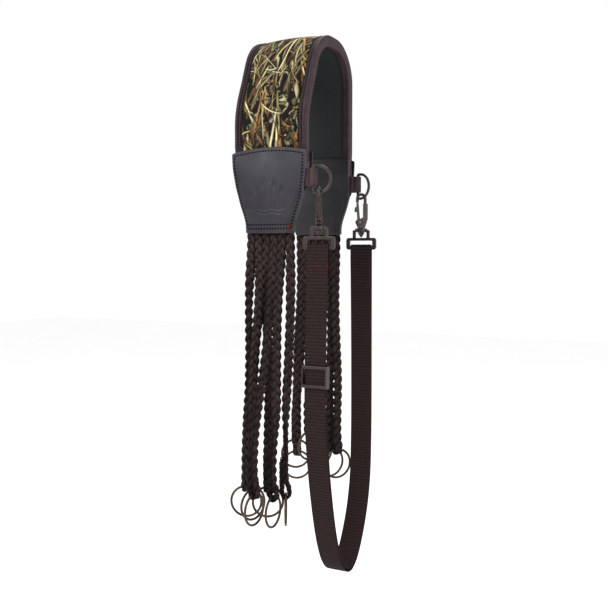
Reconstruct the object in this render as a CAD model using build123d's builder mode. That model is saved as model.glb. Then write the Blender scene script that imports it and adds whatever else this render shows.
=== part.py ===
"""A waterfowl game strap: a padded shoulder saddle that carries two leather yokes, each with six
braided drops and steel rings, and an adjustable webbing sling clipped to two D-rings.

Millimetres. +Z is up, +X is the side where the sling hangs, -Y is the front of the wearer.
The origin is the underside of the pad's crest, where the strap rests on the shoulder.
"""

import os
from math import atan2, cos, degrees, radians, sin, tan

from build123d import *

os.makedirs("parts", exist_ok=True)

# ---- driving dimensions --------------------------------------------------------------------
PAD_WIDTH = 87.0
PAD_THICKNESS = 9.0
PAD_END_Z = -137.0
LINING_THICKNESS = 0.8
COVER_THICKNESS = 1.0
LEG_FRONT_Y = 51.5  # underside of the front leg, measured forwards from the crest
LEG_BACK_Y = 53.5
SLOPE_RUN = 37.5  # the front shoulder slopes this far forwards ...
SLOPE_RISE = 93.0  # ... over this height
SHOULDER_RADII = (81.0, 36.0, 36.0)  # underside radii: front hip, front top, back top

BINDING_LIP = 8.5
BINDING_THICKNESS = 1.3

YOKE_TOP_Z = -123.0
YOKE_HEM_Z = -211.0
YOKE_HALF_WIDTH = 46.0
YOKE_TOP_RISE = 5.5  # the top edge arches this much above its corners
NECK_HALF_WIDTH = 30.5
LEATHER_THICKNESS = 2.4
LINER_LEATHER_THICKNESS = 2.2
CORD_POCKET = 4.3  # gap between the two leathers where the cords are sewn in

CORD_WIDTH = 8.8
CORD_THICKNESS = 3.8
CORD_PITCH = 9.7
CORD_COUNT = 6
CORD_TUCK = 20.0  # length of each cord sewn inside the yoke
EYE_RADIUS = 4.2  # centreline of the fold that holds the ring
LAP_HEIGHT = 42.0

RING_RADIUS = 17.4
RING_WIRE = 1.4

SLING_X = 58.0
D_BAR_X = 52.5
D_CENTRE_Z = -154.0
D_WIRE = 1.6
D_BOW_RADIUS = 14.3
D_BOW_OFFSET = 4.2
D_CORNER = 1.9
TAB_HEIGHT = 19.0
TAB_BASE_Z = -161.0
TAB_THICKNESS = 1.9

HOOK_WIRE = 1.8
HOOK_BOW = 4.95

STRAP_WIDTH = 25.4
STRAP_THICKNESS = 1.5
FRAME_WIDTH = 38.0
FRAME_DEPTH = 3.2

GAP = 0.3  # running clearance between pieces that move on each other

# ---- worked-out places ---------------------------------------------------------------------
HALF = PAD_WIDTH / 2
FRONT_OUTER_Y = -(LEG_FRONT_Y + PAD_THICKNESS)
BACK_OUTER_Y = LEG_BACK_Y + PAD_THICKNESS
FRONT_CORD_Y = FRONT_OUTER_Y + CORD_POCKET / 2
BACK_CORD_Y = BACK_OUTER_Y - CORD_POCKET / 2
HEM_PIVOT_Z = YOKE_HEM_Z - GAP - CORD_THICKNESS / 2
BINDING_END_Z = YOKE_TOP_Z + 0.4 * YOKE_TOP_RISE
D_CONTACT_Z = D_CENTRE_Z - D_BOW_RADIUS


def save(piece, name, place=Location()):
    """Label a finished piece, put it in its place and write it under its own name."""
    piece.part.label = name
    export_step(piece.part.moved(place), f"parts/{name}.step")


def arch_corners(offset):
    """Corners of the arch's side view, this far outside the pad's underside."""
    slope = (SLOPE_RUN**2 + SLOPE_RISE**2) ** 0.5
    out_y, out_z = -SLOPE_RISE / slope, SLOPE_RUN / slope
    # a point on the sloping face of the underside: its outer face starts at the hip
    base_y = FRONT_OUTER_Y + (offset - PAD_THICKNESS) * out_y
    base_z = PAD_END_Z + 59.0 + (offset - PAD_THICKNESS) * out_z
    leg_y = -(LEG_FRONT_Y + offset)
    hip_z = base_z + (leg_y - base_y) * SLOPE_RISE / SLOPE_RUN
    top_y = base_y + (offset - base_z) * SLOPE_RUN / SLOPE_RISE
    back_y = LEG_BACK_Y + offset
    return [
        (leg_y, PAD_END_Z),
        (leg_y, hip_z),
        (top_y, offset),
        (back_y, offset),
        (back_y, PAD_END_Z),
    ]


def arch_layer(x_low, x_high, inner, outer):
    """One layer of the pad between two offsets from its underside, as a plain solid."""
    with BuildPart() as layer:
        with BuildSketch(Plane.YZ.offset(x_low)):
            with BuildLine():
                outside = FilletPolyline(
                    *arch_corners(outer), radius=[r + outer for r in SHOULDER_RADII]
                )
                inside = FilletPolyline(
                    *arch_corners(inner), radius=[r + inner for r in SHOULDER_RADII]
                )
                Line(outside @ 0, inside @ 0)
                Line(outside @ 1, inside @ 1)
            make_face()
        extrude(amount=x_high - x_low)
    return layer


# ---- the padded saddle ---------------------------------------------------------------------
BODY_HALF = HALF - BINDING_THICKNESS - 0.1
save(arch_layer(-BODY_HALF, BODY_HALF, 0, LINING_THICKNESS), "lining")
foam_top = PAD_THICKNESS - COVER_THICKNESS
save(arch_layer(-BODY_HALF, BODY_HALF, LINING_THICKNESS, foam_top), "foam_pad")
save(arch_layer(-BODY_HALF, BODY_HALF, foam_top, PAD_THICKNESS), "camo_cover")

for side, name in ((-1, "binding_left"), (1, "binding_right")):
    edges = sorted((side * HALF, side * (HALF - BINDING_LIP)))
    groove = sorted((side * (HALF - BINDING_THICKNESS), side * (HALF - BINDING_LIP - 1)))
    skin = arch_layer(*edges, -BINDING_THICKNESS, PAD_THICKNESS + BINDING_THICKNESS)
    hollow = arch_layer(*groove, -0.05, PAD_THICKNESS + 0.05)
    with BuildPart() as binding:
        add(skin.part)
        add(hollow.part, mode=Mode.SUBTRACT)
        # the binding stops where the leather takes over
        with Locations((0, 0, BINDING_END_Z - 25)):
            Box(2 * PAD_WIDTH, 300, 50, mode=Mode.SUBTRACT)
    save(binding, name)


# ---- leather yokes -------------------------------------------------------------------------
def yoke_blank(plane, depth):
    """The yoke's outline, arched at the top and drawn in to a neck, cut from leather."""
    with BuildPart() as blank:
        with BuildSketch(plane):
            with BuildLine():
                crest = (0, YOKE_TOP_Z + YOKE_TOP_RISE)
                top = TangentArc(crest, (YOKE_HALF_WIDTH, YOKE_TOP_Z), tangent=(1, 0))
                side = Line(top @ 1, (YOKE_HALF_WIDTH - 1, YOKE_TOP_Z - 22))
                waist = Spline(
                    side @ 1,
                    (NECK_HALF_WIDTH + 7.5, YOKE_TOP_Z - 56),
                    (NECK_HALF_WIDTH, YOKE_TOP_Z - 76),
                    tangents=(side % 1, (0, -1)),
                )
                neck = Line(waist @ 1, (NECK_HALF_WIDTH, YOKE_HEM_Z))
                Line(neck @ 1, (0, YOKE_HEM_Z))
                mirror(about=Plane.YZ)
            make_face()
        extrude(amount=depth)
    return blank


for facing, outer_y, name in ((-1, FRONT_OUTER_Y, "front"), (1, BACK_OUTER_Y, "back")):
    outward = Plane((0, outer_y + facing * 0.1, 0), x_dir=(-facing, 0, 0), z_dir=(0, facing, 0))
    save(yoke_blank(outward, LEATHER_THICKNESS), f"{name}_yoke_outer")

    # the inner leather follows the pad, then closes up on the cords below the pad's end
    pad_face = outer_y - facing * (PAD_THICKNESS + BINDING_THICKNESS + 0.1)
    cord_face = outer_y - facing * CORD_POCKET
    back_of = facing * LINER_LEATHER_THICKNESS
    inward = Plane((0, outer_y, 0), x_dir=(facing, 0, 0), z_dir=(0, -facing, 0))
    with BuildPart() as liner:
        with BuildSketch(Plane.YZ.offset(-YOKE_HALF_WIDTH)):
            with BuildLine():
                Polyline(
                    (pad_face, YOKE_TOP_Z),
                    (pad_face, PAD_END_Z - 2),
                    (cord_face, PAD_END_Z - 22),
                    (cord_face, YOKE_HEM_Z),
                    (cord_face - back_of, YOKE_HEM_Z),
                    (cord_face - back_of, PAD_END_Z - 22.5),
                    (pad_face - back_of, PAD_END_Z - 2.5),
                    (pad_face - back_of, YOKE_TOP_Z),
                    close=True,
                )
            make_face()
        extrude(amount=2 * YOKE_HALF_WIDTH)
        add(yoke_blank(inward, 3 * PAD_THICKNESS).part, mode=Mode.INTERSECT)
    save(liner, f"{name}_yoke_inner")


# ---- braided drops and their rings ---------------------------------------------------------
# each drop's fold: place x, y, height z, and the way that its ring turns about the vertical
FRONT_EYES = [
    (-37.5, -50.5, -500.0, 21),
    (-24.5, -57.5, -500.0, 72),
    (-18.0, -34.5, -502.5, 33),
    (-12.0, -76.0, -499.0, 85),
    (2.5, -59.0, -504.0, 91),
    (13.5, -49.5, -502.5, 117),
]
BACK_EYES = [
    (-36.5, 74.0, -486.0, 30),
    (-27.5, 53.5, -466.0, 30),
    (-8.0, 53.0, -453.5, 67),
    (4.0, 58.0, -461.5, 62),
    (16.0, 62.5, -474.0, 55),
    (28.0, 56.5, -473.0, 51),
]


def cord_section(width=CORD_WIDTH):
    """Flat braid's section, its width along the sketch's x."""
    SlotOverall(width, CORD_THICKNESS)


def drop(x, cord_y, eye, turn):
    """One braided drop: a hinged top at the hem, a straight run, and a lap round its ring."""
    top = Vector(x, cord_y, HEM_PIVOT_Z)
    lap_top = Vector(eye.X, eye.Y, eye.Z + LAP_HEIGHT)
    across = (cos(radians(turn)), sin(radians(turn)), 0)
    through = (-sin(radians(turn)), cos(radians(turn)), 0)
    leg = EYE_RADIUS
    with BuildPart() as cord:
        with BuildSketch(Plane(top, x_dir=(1, 0, 0), z_dir=lap_top - top)):
            Rectangle(CORD_WIDTH, CORD_THICKNESS)
        extrude(amount=(lap_top - top).length + 2)
        with BuildSketch(Plane(top - Vector(CORD_WIDTH / 2, 0, 0), x_dir=(0, 1, 0), z_dir=(1, 0, 0))):
            Circle(CORD_THICKNESS / 2)
        extrude(amount=CORD_WIDTH)
        with BuildSketch(Plane(eye, x_dir=through, z_dir=across)):
            with BuildLine():
                FilletPolyline(
                    (0, LAP_HEIGHT + 2),
                    (0, 15),
                    (-leg, 6),
                    (-leg, -leg),
                    (leg, -leg),
                    (leg + 0.2, LAP_HEIGHT),
                    radius=[8, 8, leg - 0.05, leg - 0.05],
                )
            trace(line_width=CORD_THICKNESS)
        extrude(amount=CORD_WIDTH / 2, both=True)
    return cord


def ring(eye, turn):
    """A round wire ring that hangs in a drop's fold."""
    across = (cos(radians(turn)), sin(radians(turn)), 0)
    normal = (sin(radians(turn)), -cos(radians(turn)), 0)
    centre = eye + Vector(0, 0, 0.2 - RING_RADIUS)
    with BuildPart(Plane(centre, x_dir=across, z_dir=normal)) as wire:
        Torus(RING_RADIUS, RING_WIRE)
    return wire


for side, cord_y, eyes in (("front", FRONT_CORD_Y, FRONT_EYES), ("back", BACK_CORD_Y, BACK_EYES)):
    for number, (eye_x, eye_y, eye_z, turn) in enumerate(eyes, start=1):
        cord_x = (number - (CORD_COUNT + 1) / 2) * CORD_PITCH
        fold = Vector(eye_x, eye_y, eye_z)
        save(drop(cord_x, cord_y, fold, turn), f"{side}_drop_{number}")
        save(ring(fold, turn), f"{side}_ring_{number}")
    with BuildPart() as tucked_ends:
        with BuildSketch(Plane.XY.offset(YOKE_HEM_Z + 0.5)):
            with Locations((0, cord_y)):
                with GridLocations(CORD_PITCH, 1, CORD_COUNT, 1):
                    cord_section()
        extrude(amount=CORD_TUCK)
    save(tucked_ends, f"{side}_cord_ends")


# ---- D-rings and the tabs that hold them ---------------------------------------------------
def d_ring(bar_y, turn):
    """A D-ring: a straight bar in its tab and a round bow that the hook rides in."""
    outward = (cos(radians(turn)), sin(radians(turn)), 0)
    normal = (sin(radians(turn)), -cos(radians(turn)), 0)
    face = Plane((D_BAR_X, bar_y, D_CENTRE_Z), x_dir=outward, z_dir=normal)
    reach = D_BOW_RADIUS
    with BuildPart() as wire:
        with BuildLine(face) as outline:
            bar = Line((0, D_CORNER - reach), (0, reach - D_CORNER))
            upper = RadiusArc(bar @ 1, (D_CORNER, reach), D_CORNER)
            top = Line(upper @ 1, (D_BOW_OFFSET, reach))
            bow = CenterArc((D_BOW_OFFSET, 0), reach, 90, -180)
            bottom = Line(bow @ 1, (D_CORNER, -reach))
            RadiusArc(bottom @ 1, bar @ 0, D_CORNER)
        with BuildSketch(Plane(outline.line @ 0, z_dir=outline.line % 0)):
            Circle(D_WIRE)
        sweep()
    return wire


def ring_tab(bar_y):
    """A folded tab: two layers sewn into the yoke, wrapped round the D-ring's bar."""
    bend = D_WIRE + GAP + TAB_THICKNESS / 2
    with BuildPart() as tab:
        with BuildSketch(Plane((D_BAR_X, bar_y, TAB_BASE_Z))):
            with BuildLine():
                near = TAB_THICKNESS / 2 + 0.1
                FilletPolyline(
                    (-18, near),
                    (-6, near),
                    (-3, bend),
                    (bend, bend),
                    (bend, -bend),
                    (-3, -bend),
                    (-6, -near),
                    (-18, -near),
                    radius=[2, 2, bend - 0.1, bend - 0.1, 2, 2],
                )
            trace(line_width=TAB_THICKNESS)
        extrude(amount=TAB_HEIGHT)
    return tab


# ---- snap hooks on swivel bases ------------------------------------------------------------
COLLAR_TOP = -35.4  # heights below the D-ring's wire
COLLAR_BASE = -39.8
COLLAR_RADIUS = 7.4
EAR_TOP = -37.2
FRAME_TOP = -46.5
FRAME_BASE = -60.5
SLOT_TOP = -49.9
SLOT_BASE = -56.5
SLOT_WIDTH = 29.0
STEM = 2.0
PIVOT = (-3.0, -28.0)
PIVOT_RADIUS = 1.0
GATE_THICKNESS = 2.6
SHANK_THICKNESS = 6.4
CHEEK_THICKNESS = 7.4
CLEVIS_GAP = 4.2


def hook_plane(y, turn):
    """The hook's own flat, with x across the hook towards its back and y up."""
    back = (cos(radians(turn)), sin(radians(turn)), 0)
    normal = (sin(radians(turn)), -cos(radians(turn)), 0)
    return Plane((SLING_X, y, D_CONTACT_Z), x_dir=back, z_dir=normal)


def slab(flat, thickness):
    """A plane set back by half a thickness, to extrude a centred slab from."""
    return flat.offset(-thickness / 2)


def hook_body(flat):
    """The cast hook: a round bow and nose, a flat shank, a clevis for the gate, and a stem."""
    with BuildPart() as body:
        with BuildLine(flat) as bow:
            nose = Line((-HOOK_BOW, -5), (-HOOK_BOW, 0))
            crown = CenterArc((0, 0), HOOK_BOW, 180, -180)
            Line(crown @ 1, (HOOK_BOW, -8))
        with BuildSketch(Plane(bow.line @ 0, z_dir=nose % 0)):
            Circle(HOOK_WIRE)
        sweep()
        with BuildSketch(slab(flat, SHANK_THICKNESS)):
            with BuildLine():
                Polyline(
                    (HOOK_BOW + HOOK_WIRE + 0.4, -6),
                    (HOOK_BOW - HOOK_WIRE, -6),
                    (HOOK_BOW - HOOK_WIRE, -22),
                    (-5.2, -26),
                    (-5.2, -31),
                    (-3.6, COLLAR_TOP + GAP),
                    (3.6, COLLAR_TOP + GAP),
                    (HOOK_BOW + HOOK_WIRE + 0.4, -24),
                    close=True,
                )
            make_face()
        extrude(amount=SHANK_THICKNESS)
        with BuildSketch(slab(flat, CHEEK_THICKNESS)):
            with Locations(PIVOT):
                Circle(3.2)
        extrude(amount=CHEEK_THICKNESS)
        with BuildSketch(slab(flat, CLEVIS_GAP)):
            with Locations(PIVOT):
                Circle(3.9)
            with BuildLine():
                Polyline((-8, -28), (-6.9, -20), (2.4, -20), (0.7, -28), close=True)
            make_face()
        extrude(amount=CLEVIS_GAP, mode=Mode.SUBTRACT)
        with BuildSketch(slab(flat, 2 * CHEEK_THICKNESS)):
            with Locations(PIVOT):
                Circle(PIVOT_RADIUS)
        extrude(amount=2 * CHEEK_THICKNESS, mode=Mode.SUBTRACT)
        with BuildSketch(Plane.XY.offset(flat.origin.Z + COLLAR_BASE - GAP - 0.8)):
            with Locations((flat.origin.X, flat.origin.Y)):
                Circle(STEM)
        extrude(amount=COLLAR_TOP - COLLAR_BASE + 2 * GAP + 1.2)
        with BuildSketch(Plane.XY.offset(flat.origin.Z + FRAME_TOP + 0.6)):
            with Locations((flat.origin.X, flat.origin.Y)):
                Circle(0.8)
        with BuildSketch(Plane.XY.offset(flat.origin.Z + COLLAR_BASE - GAP)):
            with Locations((flat.origin.X, flat.origin.Y)):
                Circle(4.6)
        loft()
    return body


def gate(flat):
    """The sprung gate: a hub on the pin, a slim blade up to the nose, and a thumb knob."""
    with BuildPart() as blade:
        with BuildSketch(slab(flat, GATE_THICKNESS)):
            with BuildLine():
                Polyline(
                    (-HOOK_BOW - 1.0, -5.3),
                    (-HOOK_BOW + 1.2, -5.3),
                    (-1.8, -27),
                    (-4.6, -27),
                    close=True,
                )
            make_face()
            with Locations(PIVOT):
                Circle(2.5)
            with Locations((-HOOK_BOW - 1.6, -13)):
                SlotOverall(6.5, 3.0, rotation=80)
        extrude(amount=GATE_THICKNESS)
        with BuildSketch(slab(flat, GATE_THICKNESS)):
            with Locations(PIVOT):
                Circle(PIVOT_RADIUS + 0.06)
        extrude(amount=GATE_THICKNESS, mode=Mode.SUBTRACT)
    return blade


def gate_pin(flat):
    """The rivet that the gate turns on, held in the hook's two cheeks."""
    with BuildPart() as pin:
        with BuildSketch(slab(flat, CHEEK_THICKNESS + 0.4)):
            with Locations(PIVOT):
                Circle(PIVOT_RADIUS)
        extrude(amount=CHEEK_THICKNESS + 0.4)
    return pin


def gate_spring(flat):
    """The wire coil beside the gate's hub that closes the gate."""
    with BuildPart() as coil:
        with BuildSketch(flat.offset(GATE_THICKNESS / 2 + 0.1)):
            with Locations(PIVOT):
                Circle(2.2)
                Circle(PIVOT_RADIUS + 0.2, mode=Mode.SUBTRACT)
        extrude(amount=0.6)
    return coil


def swivel_base(y):
    """The swivel: a collar on two ears over a slotted frame for the webbing."""
    with BuildPart() as base:
        with BuildSketch(Plane((SLING_X, y - FRAME_DEPTH / 2, D_CONTACT_Z), (1, 0, 0), (0, -1, 0))) as face:
            with Locations((0, (FRAME_TOP + FRAME_BASE) / 2)):
                RectangleRounded(FRAME_WIDTH, FRAME_TOP - FRAME_BASE, 3)
            with Locations((0, (SLOT_TOP + SLOT_BASE) / 2)):
                RectangleRounded(SLOT_WIDTH, SLOT_TOP - SLOT_BASE, 0.8, mode=Mode.SUBTRACT)
            for side in (-1, 1):
                with Locations((side * 8.9, (EAR_TOP + FRAME_TOP) / 2 - 0.5)):
                    RectangleRounded(3.4, EAR_TOP - FRAME_TOP + 1, 1.2)
            with Locations((0, (EAR_TOP + COLLAR_BASE) / 2)):
                Rectangle(18.0, EAR_TOP - COLLAR_BASE)
        extrude(amount=-FRAME_DEPTH)
        with BuildSketch(Plane.XY.offset(D_CONTACT_Z + COLLAR_BASE)):
            with Locations((SLING_X, y)):
                Circle(COLLAR_RADIUS)
        extrude(amount=COLLAR_TOP - COLLAR_BASE)
        with BuildSketch(Plane.XY.offset(D_CONTACT_Z + COLLAR_BASE)):
            with Locations((SLING_X, y)):
                Circle(STEM + 0.08)
        extrude(amount=COLLAR_TOP - COLLAR_BASE, mode=Mode.SUBTRACT)
    return base


FRONT_D_TURN = 12
BACK_D_TURN = -23
FRONT_HOOK_TURN = 117
BACK_HOOK_TURN = 45
HANG = SLING_X - D_BAR_X
FRONT_HOOK_Y = FRONT_CORD_Y + HANG * tan(radians(FRONT_D_TURN))
BACK_HOOK_Y = BACK_CORD_Y + HANG * tan(radians(BACK_D_TURN))

for side, bar_y, d_turn, hook_y, hook_turn in (
    ("front", FRONT_CORD_Y, FRONT_D_TURN, FRONT_HOOK_Y, FRONT_HOOK_TURN),
    ("back", BACK_CORD_Y, BACK_D_TURN, BACK_HOOK_Y, BACK_HOOK_TURN),
):
    hook_flat = hook_plane(hook_y, hook_turn)
    save(ring_tab(bar_y), f"{side}_ring_tab")
    save(d_ring(bar_y, d_turn), f"{side}_d_ring")
    save(hook_body(hook_flat), f"{side}_hook")
    save(gate(hook_flat), f"{side}_gate")
    save(gate_pin(hook_flat), f"{side}_gate_pin")
    save(gate_spring(hook_flat), f"{side}_gate_spring")
    save(swivel_base(hook_y), f"{side}_swivel_base")


# ---- webbing sling and its slider ----------------------------------------------------------
WRAP = FRAME_DEPTH / 2 + GAP + STRAP_THICKNESS / 2
WRAP_TOP = D_CONTACT_Z + SLOT_BASE + GAP + STRAP_THICKNESS / 2
BAR_BEND = 1.4  # the webbing's bend over a frame's bar
SLIDER_Z = -365.0

LOOP = [
    (-67.5, -394.0),
    (-61.5, -452.0),
    (-50.0, -510.0),
    (-37.0, -556.0),
    (-20.5, -588.0),
    (1.5, -601.0),
    (21.0, -591.0),
    (35.5, -570.0),
    (50.0, -541.0),
    (59.5, -505.0),
    (62.0, -464.0),
    (62.5, -409.0),
    (61.5, -324.0),
]


def bend_radii(points, tight=()):
    """The largest arc that each corner's two runs allow, or the wrap's own size at a bar."""
    radii = []
    for number in range(1, len(points) - 1):
        before = Vector(*points[number]) - Vector(*points[number - 1])
        after = Vector(*points[number + 1]) - Vector(*points[number])
        reach = 0.45 * min(before.length, after.length)
        radius = reach / tan(radians(before.get_angle(after) / 2))
        radii.append(BAR_BEND if number in tight else radius)
    return radii


def strap_run(points, tight=()):
    """A flat run of webbing along a side-view route."""
    radii = bend_radii(points, tight)
    print("bend radii", [round(radius) for radius in radii])
    with BuildPart() as strap:
        with BuildSketch(Plane.YZ.offset(SLING_X - STRAP_WIDTH / 2)):
            with BuildLine() as route:
                FilletPolyline(*points, radius=radii)
            trace(line_width=STRAP_THICKNESS)
        extrude(amount=STRAP_WIDTH)
    length = route.wires()[0].length
    expected = length * STRAP_THICKNESS * STRAP_WIDTH
    print("strap length", round(length), "volume over section x length", strap.part.volume / expected)
    return strap


outer_route = [
    (FRONT_HOOK_Y + WRAP, WRAP_TOP - 36),
    (FRONT_HOOK_Y + WRAP, WRAP_TOP),
    (FRONT_HOOK_Y - WRAP, WRAP_TOP),
    *LOOP,
    (BACK_HOOK_Y + WRAP, WRAP_TOP),
    (BACK_HOOK_Y, WRAP_TOP),
]
save(strap_run(outer_route, tight=(1, 2, len(outer_route) - 2)), "sling_outer_run")

return_route = [
    (BACK_HOOK_Y, WRAP_TOP),
    (BACK_HOOK_Y - WRAP, WRAP_TOP),
    (58.4, -324.0),
    (59.6, -408.0),
    (59.0, -463.0),
    (56.6, -504.0),
    (47.4, -539.0),
    (33.4, -567.5),
    (19.2, -588.0),
    (1.4, -597.2),
    (-18.4, -585.4),
    (-34.5, -554.6),
    (-47.3, -509.2),
    (-58.8, -451.4),
    (-63.0, -397.5),
]
save(strap_run(return_route, tight=(1,)), "sling_return_run")

# the slider lies along the front run: its end bars are over the webbing, its middle bar behind it
BAR = 2.4
BAR_HEIGHT = 3.4
RAIL = 1.7
RAIL_X = STRAP_WIDTH / 2 + 0.45 + RAIL / 2
SLIDER_HALF_HEIGHT = 12.0
RUN_TOP = Vector(FRONT_HOOK_Y - WRAP, WRAP_TOP)
RUN_FOOT = Vector(*LOOP[0])
RUN_DROP = (RUN_TOP.Y - SLIDER_Z) / (RUN_TOP.Y - RUN_FOOT.Y)
SLIDER_Y = RUN_TOP.X + (RUN_FOOT.X - RUN_TOP.X) * RUN_DROP
RUN_LEAN = degrees(atan2(RUN_TOP.X - RUN_FOOT.X, RUN_TOP.Y - RUN_FOOT.Y))
ON_RUN = Location((SLING_X, SLIDER_Y, SLIDER_Z), (-RUN_LEAN, 0, 0))
over_y = -(STRAP_THICKNESS / 2 + GAP + BAR / 2)
under_y = STRAP_THICKNESS * 1.5 + 2 * GAP + BAR / 2

with BuildPart() as slider:
    for side in (-1, 1):
        with BuildSketch(Plane.YZ.offset(side * RAIL_X - RAIL / 2)):
            with Locations(((over_y + under_y) / 2, 0)):
                RectangleRounded(under_y - over_y + BAR, 2 * SLIDER_HALF_HEIGHT, 2)
        extrude(amount=RAIL)
    for bar_y, bar_z in ((over_y, 10.2), (over_y, -10.2), (under_y, 0)):
        with Locations((0, bar_y, bar_z)):
            Box(2 * RAIL_X, BAR, BAR_HEIGHT)
save(slider, "slider", ON_RUN)

with BuildPart() as slider_loop:
    wrap = BAR / 2 + GAP + STRAP_THICKNESS / 2
    crest = BAR_HEIGHT / 2 + GAP + STRAP_THICKNESS / 2
    seam = STRAP_THICKNESS / 2 + 0.05
    with BuildSketch(Plane.YZ.offset(-STRAP_WIDTH / 2)):
        with BuildLine():
            FilletPolyline(
                (under_y - seam, -30),
                (under_y - seam, -7),
                (under_y - wrap, -3),
                (under_y - wrap, crest),
                (under_y + wrap, crest),
                (under_y + wrap, -3),
                (under_y + seam, -7),
                (under_y + seam, -30),
                radius=[2, 2, BAR_BEND, BAR_BEND, 2, 2],
            )
        trace(line_width=STRAP_THICKNESS)
    extrude(amount=STRAP_WIDTH)
save(slider_loop, "slider_loop", ON_RUN)
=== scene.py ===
"""Looks of a game strap: a camo shoulder pad, leather yokes, braided drops with rings and a webbing sling.

Sizes are in millimetres in the part's own frame, +Z up, +X the sling's side and -Y the front,
and turn into metres where a mesh is made.
"""

from math import cos, pi, radians, sin, tan

import bpy
import numpy as np
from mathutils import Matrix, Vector


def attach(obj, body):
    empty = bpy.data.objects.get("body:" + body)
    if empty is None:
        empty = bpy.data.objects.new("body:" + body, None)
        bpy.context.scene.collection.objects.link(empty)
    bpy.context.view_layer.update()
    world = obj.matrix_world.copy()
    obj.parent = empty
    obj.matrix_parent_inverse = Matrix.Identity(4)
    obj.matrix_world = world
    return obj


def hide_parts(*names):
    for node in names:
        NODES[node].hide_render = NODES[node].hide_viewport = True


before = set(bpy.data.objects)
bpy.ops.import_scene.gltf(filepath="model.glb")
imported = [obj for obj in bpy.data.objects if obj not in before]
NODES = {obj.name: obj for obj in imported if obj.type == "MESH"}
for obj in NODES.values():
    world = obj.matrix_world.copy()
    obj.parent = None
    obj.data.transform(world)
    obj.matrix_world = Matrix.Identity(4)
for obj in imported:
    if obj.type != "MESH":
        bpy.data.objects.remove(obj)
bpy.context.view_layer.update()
MM = 0.001

# ---- sizes shared with the part, in millimetres ----------------------------------------------
PAD_HALF = 43.5
PAD_THICKNESS = 9.0
PAD_END_Z = -137.00
LINING_THICKNESS = 0.8
LEG_FRONT_Y = 51.5
LEG_BACK_Y = 53.5
SLOPE_RUN = 37.5
SLOPE_RISE = 93.0
HIP_HEIGHT = 59.0
SHOULDER_RADII = (81.0, 36.0, 36.0)
BINDING_LIP = 8.5
BINDING_THICKNESS = 1.3
YOKE_TOP_Z = -123.00
YOKE_HEM_Z = -211.00
NECK_HALF_WIDTH = 30.5
LEATHER_THICKNESS = 2.4
CORD_POCKET = 4.3
CORD_PITCH = 9.7
EYE_RADIUS = 4.2
LAP_HEIGHT = 42.0
SLING_X = 58.0
D_BAR_X = 52.5
STRAP_WIDTH = 25.4
STRAP_THICKNESS = 1.5
RIB_PITCH = 3.6

FRONT_OUTER_Y = -(LEG_FRONT_Y + PAD_THICKNESS)
BACK_OUTER_Y = LEG_BACK_Y + PAD_THICKNESS
FRONT_CORD_Y = FRONT_OUTER_Y + CORD_POCKET / 2
BACK_CORD_Y = BACK_OUTER_Y - CORD_POCKET / 2
HEM_PIVOT_Z = YOKE_HEM_Z - 2.2


# ---- numbers, lines and meshes ---------------------------------------------------------------
def smooth(value):
    """0 below 0, 1 above 1 and a smooth step between."""
    t = np.clip(value, 0, 1)
    return t * t * (3 - 2 * t)


def unit(vectors):
    return vectors / np.maximum(np.linalg.norm(vectors, axis=-1, keepdims=True), 1e-12)


def colour(red, green, blue):
    """A colour given in screen values from 0 to 255, as the shaders take it."""
    values = np.array([red, green, blue]) / 255.0
    return np.where(values <= 0.04045, values / 12.92, ((values + 0.055) / 1.055) ** 2.4)


def paint(red, green, blue):
    return (*colour(red, green, blue), 1.0)


def lengths_along(line):
    steps = np.linalg.norm(np.diff(line, axis=0), axis=1)
    return np.concatenate([[0], np.cumsum(steps)])


def spaced(line, step):
    """The same line with its points this far apart."""
    along = lengths_along(line)
    at = np.linspace(0, along[-1], max(3, round(along[-1] / step) + 1))
    return np.stack([np.interp(at, along, line[:, k]) for k in range(line.shape[1])], axis=1)


def strip_faces(rows, columns, closed=False, flip=False):
    """Quads between neighbouring points of a grid with that many rows and columns."""
    index = np.arange(rows * columns).reshape(rows, columns)
    right = np.roll(index, -1, axis=1) if closed else index[:, 1:]
    left = index if closed else index[:, :-1]
    quads = [left[:-1], right[:-1], right[1:], left[1:]]
    if flip:
        quads.reverse()
    return np.stack(quads, axis=-1).reshape(-1, 4)


def piece(name, points, faces, body, material, replaces=(), flat_map=None):
    """A mesh in place, riding on a body, in place of the CAD nodes that it stands for."""
    mesh = bpy.data.meshes.new(name)
    faces = faces.tolist() if isinstance(faces, np.ndarray) else faces
    mesh.from_pydata((np.asarray(points) * MM).tolist(), [], faces)
    mesh.shade_smooth()
    mesh.materials.append(material)
    if flat_map is not None:
        for label, values in zip(("across_mm", "along_mm"), flat_map):
            layer = mesh.attributes.new(label, "FLOAT", "POINT")
            layer.data.foreach_set("value", np.asarray(values, np.float32).ravel())
    made = bpy.data.objects.new(name, mesh)
    bpy.context.scene.collection.objects.link(made)
    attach(made, body)
    if replaces:
        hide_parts(*replaces)
    return made


def sweep(line, across, section, closed=True):
    """Points of a tube: a section, in its own across and up, carried along a line.

    The section is one outline, or one for every point of the line.
    """
    tangent = unit(np.gradient(line, axis=0))
    across = unit(across - (across * tangent).sum(1, keepdims=True) * tangent)
    up = np.cross(tangent, across)
    section = np.broadcast_to(section, (len(line), *np.shape(section)[-2:]))
    points = line[:, None] + section[..., :1] * across[:, None] + section[..., 1:] * up[:, None]
    rows, columns = points.shape[:2]
    faces = strip_faces(rows, columns, closed, flip=True).tolist()
    faces.append(list(range(columns)))
    faces.append(list(range((rows - 1) * columns, rows * columns))[::-1])
    return points.reshape(-1, 3), faces


def merged(parts):
    """Several (points, faces) pairs as one."""
    points, faces, start = [], [], 0
    for part_points, part_faces in parts:
        points.append(part_points)
        faces += [[start + i for i in face] for face in part_faces]
        start += len(part_points)
    return np.concatenate(points), faces


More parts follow.
